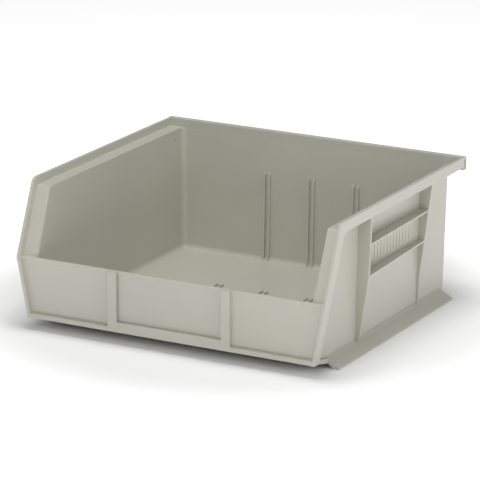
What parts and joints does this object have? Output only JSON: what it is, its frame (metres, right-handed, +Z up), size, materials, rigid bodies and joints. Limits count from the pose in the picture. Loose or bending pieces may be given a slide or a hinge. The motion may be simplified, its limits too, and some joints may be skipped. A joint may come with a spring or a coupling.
{
  "type": "stackable storage bin",
  "caption": "Open-topped moulded storage bin with a hopper front, stacking rims along the sides, a rear hang lip, side ribs and flared base runners.",
  "frame": {"origin": "centre of the footprint, on the plane that the base runners stand on", "axes": "+Z up, -Y towards the open hopper front with the label fields, +X to the right seen from the front"},
  "size_m": [0.419, 0.377, 0.18],
  "materials": {
    "bin_polymer": "semi-gloss stone-grey moulded polypropylene copolymer with a fine mould texture"
  },
  "bodies": {
    "root": {"tub_shell": "bin_polymer", "rear_hang_lip": "bin_polymer", "front_bottom_border": "bin_polymer", "front_lip_bead": "bin_polymer", "left_label_strip": "bin_polymer", "right_label_strip": "bin_polymer", "left_stacking_rim": "bin_polymer", "right_stacking_rim": "bin_polymer", "left_front_rib": "bin_polymer", "left_rear_rib": "bin_polymer", "left_upper_rib": "bin_polymer", "left_lower_rib": "bin_polymer", "right_front_rib": "bin_polymer", "right_rear_rib": "bin_polymer", "right_upper_rib": "bin_polymer", "right_lower_rib": "bin_polymer", "left_side_border": "bin_polymer", "right_side_border": "bin_polymer", "left_toe_skirt": "bin_polymer", "right_toe_skirt": "bin_polymer", "left_base_runner": "bin_polymer", "right_base_runner": "bin_polymer"}
  },
  "joints": []
}
